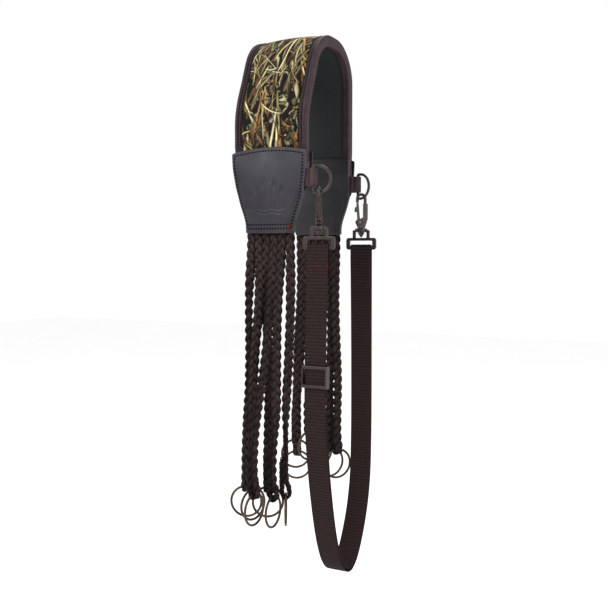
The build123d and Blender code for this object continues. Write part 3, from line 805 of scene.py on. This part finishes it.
def make_yoke(side, facing, outer_y):
    def leather(name, node, towards, base, thickness, rise, material, dome, motif):
        """One leather: towards is the way its good face looks along y."""
        x, z, from_side, from_top, from_hem = yoke_grid(190, 200, rise)
        half = from_side + np.abs(x)
        edge = np.minimum(np.minimum(from_side, from_top), from_hem)
        gap = np.abs(outer_y - liner_y(z, facing, outer_y))
        good = thickness - 1.0 + np.sqrt(np.clip(1 - (1 - np.clip(edge / 1.0, 0, 1)) ** 2, 0, 1))
        inset = np.minimum(np.minimum(from_side - 3.3, from_top - 4.3), from_hem - 5.0)
        good = good + groove(inset) + groove(from_hem - 9.2) * smooth((from_side - 3) / 2) * dome
        height = (from_hem + 2) / (from_top + from_hem)
        good = good + dome * 2.2 * (1 - (x / half) ** 2) * np.sin(pi * np.clip(height, 0, 1)) ** 0.8
        if motif:
            good = good - 0.32 * reed_motif(x, z)
        lift = 1.5 * smooth((np.abs(x) - 22) / 20) * smooth((z + 176) / 44)
        curl = edge_curl(x, z, half, gap, 1)
        ripple = 0.16 * np.sin(x / 11 + z / 16) * smooth(from_hem / 20)
        shift = lift - curl + ripple
        outer = np.stack([x, base(z) + towards * (good + shift), z], axis=-1)
        inner = np.stack([x, base(z) + towards * shift, z], axis=-1)
        points, faces = closed_sheet(outer, inner)
        if towards > 0:
            faces = [face[::-1] for face in faces]
        made = piece(name, points, faces, "shoulder_strap", material, (node,))
        made.data.materials.append(LEATHER_EDGE)
        centre_edge = np.concatenate([edge.ravel(), np.full(edge.size, 0.0)])
        for polygon in made.data.polygons:
            depth = max(centre_edge[i] for i in polygon.vertices)
            if depth < 0.75 and min(polygon.vertices) < edge.size:
                polygon.material_index = 1
        return x, z, from_side, from_top, from_hem, outer

    outer_base = outer_y + facing * 0.1
    x, z, from_side, from_top, from_hem, face = leather(
        f"{side}_yoke_leather",
        f"{side}_yoke_outer",
        facing,
        lambda z: outer_base,
        LEATHER_THICKNESS,
        TOP_RISE,
        LEATHER,
        1.0,
        side == "front",
    )
    leather(
        f"{side}_yoke_liner",
        f"{side}_yoke_inner",
        -facing,
        lambda z: liner_y(z, facing, outer_y),
        2.2,
        2.5,
        LEATHER_BACK,
        0.25,
        False,
    )
    sew_yoke(side, facing, face, x, z)
    for sign in (-1, 1):
        close_side(side, facing, outer_y, sign)


def close_side(side, facing, outer_y, sign):
    """The strip of leather that closes a yoke's side below the pad, between the two leathers."""
    z = np.linspace(PAD_END_Z + 3, YOKE_HEM_Z + 2, 60)[:, None]
    t = np.linspace(0, 1, 9)[None]
    inner_y = liner_y(z, facing, outer_y)
    gap = np.abs(outer_y - inner_y)
    curled = smooth((PAD_END_Z + 1 - z) / 34) * (gap / 2 - 0.6)
    near = outer_y - facing * curled
    far = inner_y + facing * curled
    x = sign * (yoke_half_width(z) - 1.5 - 0.8 * np.sin(pi * t))
    y = near + (far - near) * t
    shell = np.stack([x + 0 * y, y, z + 0 * y], axis=-1)
    core = shell - np.array([sign * 1.2, 0, 0])
    points, faces = closed_sheet(shell, core)
    if sign * facing < 0:
        faces = [face[::-1] for face in faces]
    way = "right" if sign > 0 else "left"
    piece(f"{side}_yoke_gusset_{way}", points, faces, "shoulder_strap", LEATHER_EDGE)


def sew_yoke(side, facing, face, x, z):
    """Stitch rows round the yoke's outer leather, read off the leather's own face."""
    flat_x, flat_z, flat_y = x.ravel(), z.ravel(), face[..., 1].ravel()

    def on_face(path_x, path_z):
        y = [flat_y[np.argmin((flat_x - px) ** 2 + (flat_z - pz) ** 2)] for px, pz in zip(path_x, path_z)]
        kernel = np.ones(5) / 5
        y = np.convolve(np.pad(y, 2, mode="edge"), kernel, mode="valid")
        return np.stack([path_x, y + facing * 0.2, path_z], axis=1)

    heights = np.linspace(YOKE_TOP_Z - 4.0, YOKE_HEM_Z + 5.0, 90)
    wide = np.linspace(-1, 1, 90)
    top_x = wide * (YOKE_TOP_HALF - 3.5)
    rows = [(top_x, YOKE_TOP_Z + TOP_RISE * (1 - (top_x / YOKE_TOP_HALF) ** 2) - 4.3)]
    for sign in (-1, 1):
        rows.append((sign * (yoke_half_width(heights) - 3.3), heights))
    for lift in (5.0, 9.2):
        rows.append((wide * (NECK_HALF_WIDTH - 3.3), np.full(90, YOKE_HEM_Z + lift)))
    parts = []
    for path_x, path_z in rows:
        line = on_face(path_x, path_z)
        out = np.tile([0.0, facing, 0.0], (len(line), 1))
        parts.append(stitches(line, out, 3.4, 1.9, 0.85))
    points, faces = merged(parts)
    piece(f"{side}_yoke_stitches", points, faces, "shoulder_strap", THREAD)
    corner = on_face(np.array([25.0]), np.array([YOKE_HEM_Z + 6.8]))[0]
    tack_run = unit(np.array([0.45, 0.0, 1.0]))
    out = np.array([0.0, facing, 0.0])
    bar_tack(corner, tack_run, out, 5.6, 2.4, "shoulder_strap", f"{side}_yoke_bar_tack")


make_yoke("front", -1, FRONT_OUTER_Y)
make_yoke("back", 1, BACK_OUTER_Y)


# ---- braided drops ---------------------------------------------------------------------------
# each drop's fold: place x, y, height z, the way its ring turns, the way its own run turns, its sway
FRONT_EYES = [
    (-37.5, -50.5, -500.0, 21, 80, (-1.5, 1.0)),
    (-24.5, -57.5, -500.0, 72, 24, (2.5, -1.5)),
    (-18.0, -34.5, -502.5, 33, 38, (-2.0, 2.0)),
    (-12.0, -76.0, -499.0, 85, 66, (1.5, 2.5)),
    (2.5, -59.0, -504.0, 91, 20, (-2.5, -1.0)),
    (13.5, -49.5, -502.5, 117, 48, (2.0, 1.0)),
]
BACK_EYES = [
    (-36.5, 74.0, -486.0, 30, 12, (2.0, -1.0)),
    (-27.5, 53.5, -466.0, 30, 40, (-2.0, 1.5)),
    (-8.0, 53.0, -453.5, 67, 20, (2.5, 1.0)),
    (4.0, 58.0, -461.5, 62, 34, (-1.5, -2.0)),
    (16.0, 62.5, -474.0, 55, 16, (1.5, 2.0)),
    (28.0, 56.5, -473.0, 51, 44, (-2.0, -1.0)),
]
BRAID_PERIOD = 30.5
BRAID_WIDTH = 11.4
STRAND_REACH = 3.05  # how far a strand's middle swings to each side
STRAND_WIDTH = BRAID_WIDTH / 2 - STRAND_REACH
STRAND_DEPTH = 2.0
STRAND_PITCH = 1.25  # how far a strand's middle rises and falls


def drop_route(x, cord_y, eye, turn, sway):
    """Hem, run, lap and tail of one drop, as control points."""
    top = np.array([x, cord_y, HEM_PIVOT_Z])
    through = np.array([-sin(radians(turn)), cos(radians(turn)), 0.0])
    lap_top = eye + np.array([0, 0, LAP_HEIGHT])
    route = [top + [0, 0, 1.6], top - [0, 0, 14]]
    for share, push in ((0.3, sway[0]), (0.55, sway[1]), (0.8, -sway[0] * 0.6)):
        route.append(top + (lap_top - top) * share + np.array([push, push * 0.4, 0]))
    leg = EYE_RADIUS
    for across, up in ((0, 44), (0, 15), (-leg, 6), (-leg, -leg), (leg, -leg), (4.4, 14), (4.4, LAP_HEIGHT)):
        route.append(eye + through * across + np.array([0, 0, up]))
    return route


def plait(line, across, along, flat, tail, near_bend, start_phase):
    """Three strands plaited along a line: points, faces, cloth places and each point's height out of the
    braid's middle, which sets the painted crevice shade.
    """
    tangent = unit(np.gradient(line, axis=0))
    across = unit(across - (across * tangent).sum(1, keepdims=True) * tangent)
    up = np.cross(tangent, across)
    parts, maps, crevice_shade = [], [], []
    angle = np.linspace(0, 2 * pi, 10, endpoint=False)
    for strand in range(3):
        phase = 2 * pi * (along / BRAID_PERIOD + strand / 3) + start_phase
        lateral = STRAND_REACH * np.sin(phase) * (0.35 + 0.65 * tail) * (1 - 0.12 * near_bend)
        depth = STRAND_PITCH * np.sin(2 * phase) * flat
        centre = line + across * lateral[:, None] + up * depth[:, None]
        size = (0.25 + 0.75 * tail)[:, None] * np.ones(10)[None]
        high = STRAND_DEPTH * np.sin(angle) * size * flat[:, None]
        section = np.stack([STRAND_WIDTH * np.cos(angle) * size, high], axis=-1)
        parts.append(sweep(centre, across, section))
        maps.append((np.tile(angle, len(line)), np.repeat(along, 10)))
        # How far each point stands out of the braid's middle: the braid's colour turns low values into
        # painted crevice shade.
        crevice_shade.append(np.abs(depth[:, None] + high).ravel() / (STRAND_DEPTH + STRAND_PITCH))
    points, faces = merged(parts)
    flat_map = [np.concatenate([m[k] for m in maps]) for k in (0, 1)]
    return points, faces, flat_map, np.concatenate(crevice_shade)


def braided_piece(name, body, replaces, plaits):
    """One piece from one or more plaits."""
    points, faces = merged([(p[0], p[1]) for p in plaits])
    flat_map = [np.concatenate([p[2][k] for p in plaits]) for k in (0, 1)]
    made = piece(name, points, faces, body, BRAID, replaces, flat_map)
    # The painted crevice shade rides on the mesh as a point attribute.
    layer = made.data.attributes.new("crevice_shade", "FLOAT", "POINT")
    layer.data.foreach_set("value", np.concatenate([p[3] for p in plaits]).astype(np.float32))
    return made


HEM_FLATNESS = 0.6


def make_drop(side, number, x, cord_y, place, turn, twist, sway):
    eye = np.array(place)
    line = nurbs_line(drop_route(x, cord_y, eye, turn, sway), 1.25)
    along = lengths_along(line)
    total = along[-1]
    lap_share = smooth((along - (total - 2 * LAP_HEIGHT - 90)) / 60)[:, None]
    twisted = np.radians(twist) * smooth((along - 12) / 70)[:, None]
    facing = twisted * (1 - lap_share) + radians(turn) * lap_share
    across = np.concatenate([np.cos(facing), np.sin(facing), 0 * facing], axis=1)
    bend_at = np.argmin(line[:, 2])
    near_bend = np.exp(-(((along - along[bend_at]) / 9) ** 2))
    flat = (1 - 0.28 * near_bend) * (1 - (1 - HEM_FLATNESS) * smooth((9 - along) / 9))
    tail = smooth((total - along) / 7)
    braid = braided_piece(
        f"{side}_braid_{number}",
        f"{side}_drops",
        (f"{side}_drop_{number}",),
        [plait(line, across, along, flat, tail, near_bend, number * 1.9)],
    )
    print("drop", side, number, round(total))


def make_cord_tops(side, cord_y):
    """The sewn-in tops of the drops: they stay at the hem when the drops swing."""
    plaits = []
    for number in range(1, 7):
        z = np.arange(YOKE_HEM_Z + 12, HEM_PIVOT_Z - 0.4, -0.8)
        x = (number - 3.5) * CORD_PITCH
        line = np.stack([np.full(len(z), x), np.full(len(z), cord_y), z], axis=1)
        along = HEM_PIVOT_Z + 1.6 - z
        across = np.tile([1.0, 0, 0], (len(z), 1))
        flat = np.full(len(z), HEM_FLATNESS)
        ones = np.ones(len(z))
        plaits.append(plait(line, across, along, flat, ones, 0 * ones, number * 1.9))
    braided_piece(f"{side}_cord_tops", "shoulder_strap", (f"{side}_cord_ends",), plaits)


for side, cord_y, eyes in (("front", FRONT_CORD_Y, FRONT_EYES), ("back", BACK_CORD_Y, BACK_EYES)):
    make_cord_tops(side, cord_y)
    for number, (eye_x, eye_y, eye_z, turn, twist, sway) in enumerate(eyes, start=1):
        cord_x = (number - 3.5) * CORD_PITCH
        make_drop(side, number, cord_x, cord_y, (eye_x, eye_y, eye_z), turn, twist, sway)


# ---- webbing ---------------------------------------------------------------------------------

def webbing_section(along, rib=0.42):
    """The webbing's section at each place along it: ribbed faces and rounded selvedges."""
    half = STRAP_WIDTH / 2
    x = np.concatenate([[-half], np.linspace(-half + 0.5, half - 0.5, 13), [half]])
    thick = np.full(15, STRAP_THICKNESS / 2 - 0.22)
    thick[[0, -1]] = 0.25
    thick[[1, -2]] = STRAP_THICKNESS / 2 - 0.1
    ribbed = np.ones(15)
    ribbed[[0, 1, -2, -1]] = 0.15
    wave = rib * (np.abs(np.sin(pi * along / RIB_PITCH)) ** 0.6 - 0.35)
    height = thick[None] + ribbed[None] * wave[:, None]
    over = np.stack([np.broadcast_to(x, height.shape), height], axis=-1)
    under = np.stack([np.broadcast_to(x, height.shape), -height], axis=-1)[:, ::-1]
    return np.concatenate([over, under], axis=1)


def make_webbing(name, route, body, replaces):
    line = nurbs_line([(SLING_X, y, z) for y, z in route], RIB_PITCH / 8)
    along = lengths_along(line)
    across = np.tile([1.0, 0, 0], (len(line), 1))
    section = webbing_section(along)
    points, faces = sweep(line, across, section)
    width = np.tile(section[0, :, 0], len(line))
    flat_map = width, np.repeat(along, section.shape[1])
    strap = piece(name, points, faces, body, WEBBING, replaces, flat_map)
    print("webbing", name, round(along[-1]))
    return strap, line


HOOK_FRONT_Y = FRONT_CORD_Y + (SLING_X - D_BAR_X) * tan(radians(12))
HOOK_BACK_Y = BACK_CORD_Y + (SLING_X - D_BAR_X) * tan(radians(-23))
WRAP = 2.65
WRAP_TOP = -223.75
LOOP = [
    (-67.5, -394.0),
    (-61.5, -452.0),
    (-50.0, -510.0),
    (-37.0, -556.0),
    (-20.5, -588.0),
    (1.5, -601.0),
    (21.0, -591.0),
    (35.5, -570.0),
    (50.0, -541.0),
    (59.5, -505.0),
    (62.0, -464.0),
    (62.5, -409.0),
    (61.5, -324.0),
]
OUTER_ROUTE = [
    (HOOK_FRONT_Y + WRAP, WRAP_TOP - 36),
    (HOOK_FRONT_Y + WRAP, WRAP_TOP - 5),
    (HOOK_FRONT_Y + WRAP, WRAP_TOP + 0.4),
    (HOOK_FRONT_Y - WRAP, WRAP_TOP + 0.4),
    (HOOK_FRONT_Y - WRAP - 0.3, WRAP_TOP - 5),
    *LOOP,
    (HOOK_BACK_Y + WRAP + 0.2, WRAP_TOP - 3),
    (HOOK_BACK_Y + WRAP, WRAP_TOP + 0.4),
    (HOOK_BACK_Y, WRAP_TOP + 0.4),
]
RETURN_ROUTE = [
    (HOOK_BACK_Y, WRAP_TOP + 0.4),
    (HOOK_BACK_Y - WRAP, WRAP_TOP + 0.4),
    (HOOK_BACK_Y - WRAP - 0.1, WRAP_TOP - 3),
    (58.4, -324.0),
    (59.6, -408.0),
    (59.0, -463.0),
    (56.6, -504.0),
    (47.4, -539.0),
    (33.4, -567.5),
    (19.2, -588.0),
    (1.4, -597.2),
    (-18.4, -585.4),
    (-34.5, -554.6),
    (-47.3, -509.2),
    (-58.8, -451.4),
    (-63.0, -397.5),
]

outer_strap, outer_line = make_webbing("sling_webbing_outer", OUTER_ROUTE, "sling", ("sling_outer_run",))
return_strap, return_line = make_webbing("sling_webbing_return", RETURN_ROUTE, "sling", ("sling_return_run",))


# ---- red thread on the sling -----------------------------------------------------------------
def strap_place(z):
    """The outer face of the front run at a height, and the way along the run."""
    run = outer_line[lengths_along(outer_line) > 45]
    at = int(np.argmin(np.abs(run[: len(run) // 3, 2] - z)))
    return run[at] - np.array([0, STRAP_THICKNESS / 2 + 0.25, 0]), unit(run[at + 4] - run[at])


place, run_way = strap_place(-246.0)
seam_x = np.linspace(-10.5, 10.5, 40)
seam = place + np.stack([seam_x, 0 * seam_x, 0 * seam_x], axis=1)
points, faces = stitches(seam, np.tile([0.0, -1.0, 0.0], (40, 1)), 1.75, 1.3, 0.34)
piece("sling_seam_stitches", points, faces, "sling", RED_THREAD)
for z, shift in ((-246.0, 13.2), (-388.0, 13.4)):
    place, run_way = strap_place(z)
    corner = place + np.array([shift - 0.6, STRAP_THICKNESS / 2, 0])
    tack_run = unit(np.array([-0.35, 0, 1.0]))
    bar_tack(corner, tack_run, np.array([1.0, 0, 0]), 3.6, 1.7, "sling", f"sling_tack_{round(-z)}")


# ---- ring tabs -------------------------------------------------------------------------------
TAB_BASE_Z = -161.0
TAB_HEIGHT = 19.0


def make_tab(side, bar_y):
    """A folded tab: two layers pinched by a seam, then open round the D-ring's bar."""
    half_outline = [
        (-18.0, 1.7), (-10.0, 1.9), (-8.6, 2.9), (-7.0, 3.1), (-5.6, 2.4), (-4.9, 1.3),
        (-4.2, 1.9), (-3.2, 3.1), (-1.6, 3.75), (0.6, 3.8), (2.4, 3.1), (3.5, 1.7), (3.8, 0.0),
    ]
    outline = np.array(half_outline + [(a, -b) for a, b in half_outline[-2::-1]])
    fine = nurbs_line([(a, b, 0.0) for a, b in outline], 0.5)[:, :2]
    rise = np.concatenate(
        [[0, 0.15, 0.6], np.linspace(1.2, TAB_HEIGHT - 1.2, 22), TAB_HEIGHT - np.array([0.6, 0.15, 0])]
    )
    edge = np.minimum(rise, TAB_HEIGHT - rise)
    shrink = 0.8 * (1 - np.sqrt(np.clip(1 - (1 - np.clip(edge / 1.2, 0, 1)) ** 2, 0, 1)))
    centre = np.array([-6.0, 0.0])
    pull = unit(fine - centre)
    rings = [np.column_stack([fine - pull * s, np.full(len(fine), r)]) for s, r in zip(shrink, rise)]
    points = np.array(rings) + np.array([D_BAR_X, bar_y, TAB_BASE_Z])
    rows, columns = points.shape[:2]
    faces = strip_faces(rows, columns, closed=True, flip=True).tolist()
    faces += [list(range(columns)), list(range((rows - 1) * columns, rows * columns))[::-1]]
    flat = np.tile(lengths_along(fine) + 4, rows), np.repeat(rise, columns)
    points = points.reshape(-1, 3)
    piece(f"{side}_tab", points, faces, "shoulder_strap", TAB, (f"{side}_ring_tab",), flat)


make_tab("front", FRONT_CORD_Y)
make_tab("back", BACK_CORD_Y)


# ---- cast and drawn metal --------------------------------------------------------------------
def cast_copy(node, body, material, voxel=0.3, passes=6):
    """The CAD shape with its sharp edges worn round, as a casting has."""
    source = NODES[node]
    temporary = bpy.data.objects.new("casting", source.data.copy())
    bpy.context.scene.collection.objects.link(temporary)
    remesh = temporary.modifiers.new("remesh", "REMESH")
    remesh.mode = "VOXEL"
    remesh.voxel_size = voxel * MM
    soften = temporary.modifiers.new("soften", "SMOOTH")
    soften.factor = 0.5
    soften.iterations = passes
    graph = bpy.context.evaluated_depsgraph_get()
    mesh = bpy.data.meshes.new_from_object(temporary.evaluated_get(graph))
    bpy.data.objects.remove(temporary)
    mesh.shade_smooth()
    mesh.materials.clear()
    mesh.materials.append(material)
    made = bpy.data.objects.new(f"{node}_cast", mesh)
    bpy.context.scene.collection.objects.link(made)
    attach(made, body)
    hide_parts(node)
    return made


for side in ("front", "back"):
    cast_copy(f"{side}_hook", f"{side}_hook_body", HARDWARE)
    cast_copy(f"{side}_gate", f"{side}_gate_body", HARDWARE, 0.25, 4)
    cast_copy(f"{side}_swivel_base", "sling", HARDWARE, 0.35)
cast_copy("slider", "slider_body", HARDWARE, 0.35)

FINISH = {
    "ring_1": BRASS,
    "ring_2": BRASS,
    "ring_3": BRASS,
    "ring_4": BRASS,
    "ring_5": BRASS,
    "ring_6": BRASS,
    "d_ring": HARDWARE,
    "gate_pin": SPRING_STEEL,
    "gate_spring": SPRING_STEEL,
    "cord_ends": BRAID,
    "slider_loop": WEBBING,
    "foam_pad": FOAM,
}
for name, node in NODES.items():
    finish = next((material for ending, material in FINISH.items() if name.endswith(ending)), HARDWARE)
    node.data.materials.clear()
    node.data.materials.append(finish)
    node.data.shade_smooth()


# ---- studio ----------------------------------------------------------------------------------
def area_light(name, place, target, size, power):
    data = bpy.data.lights.new(name, "AREA")
    data.shape = "DISK"
    data.size = size
    data.energy = power
    lamp = bpy.data.objects.new(name, data)
    lamp.location = place
    lamp.rotation_euler = (Vector(target) - Vector(place)).to_track_quat("-Z", "Y").to_euler()
    bpy.context.scene.collection.objects.link(lamp)


FLOOR_Z = -0.95
floor_mesh = bpy.data.meshes.new("floor")
reach = 6.0
floor_mesh.from_pydata(
    [(x * reach, y * reach, FLOOR_Z) for x, y in ((-1, -1), (1, -1), (1, 1), (-1, 1))], [], [(0, 1, 2, 3)]
)
floor_mesh.materials.append(studio_material())
floor = bpy.data.objects.new("floor", floor_mesh)
bpy.context.scene.collection.objects.link(floor)

middle = (0.0, 0.0, -0.28)
area_light("key", (-0.9, -1.7, 0.9), middle, 1.1, 34)
area_light("fill", (1.6, -0.9, 0.2), middle, 0.9, 9)
area_light("top", (0.3, 0.6, 1.6), middle, 1.0, 22)

world = bpy.data.worlds.new("studio")
world.use_nodes = True
background = world.node_tree.nodes["Background"]
background.inputs["Color"].default_value = (1, 1, 1, 1)
background.inputs["Strength"].default_value = 1.0
bpy.context.scene.world = world
bpy.context.scene.view_settings.view_transform = "Standard"

camera_data = bpy.data.cameras.new("camera")
camera_data.sensor_width = 36.0
camera_data.lens = 49.2
camera = bpy.data.objects.new("camera", camera_data)
camera.location = (0.4479, -0.8571, -0.230)
heading, pitch = radians(27), radians(-3.67)
aim = Vector((-sin(heading) * cos(pitch), cos(heading) * cos(pitch), sin(pitch)))
camera.rotation_euler = aim.to_track_quat("-Z", "Y").to_euler()
bpy.context.scene.collection.objects.link(camera)
bpy.context.scene.camera = camera
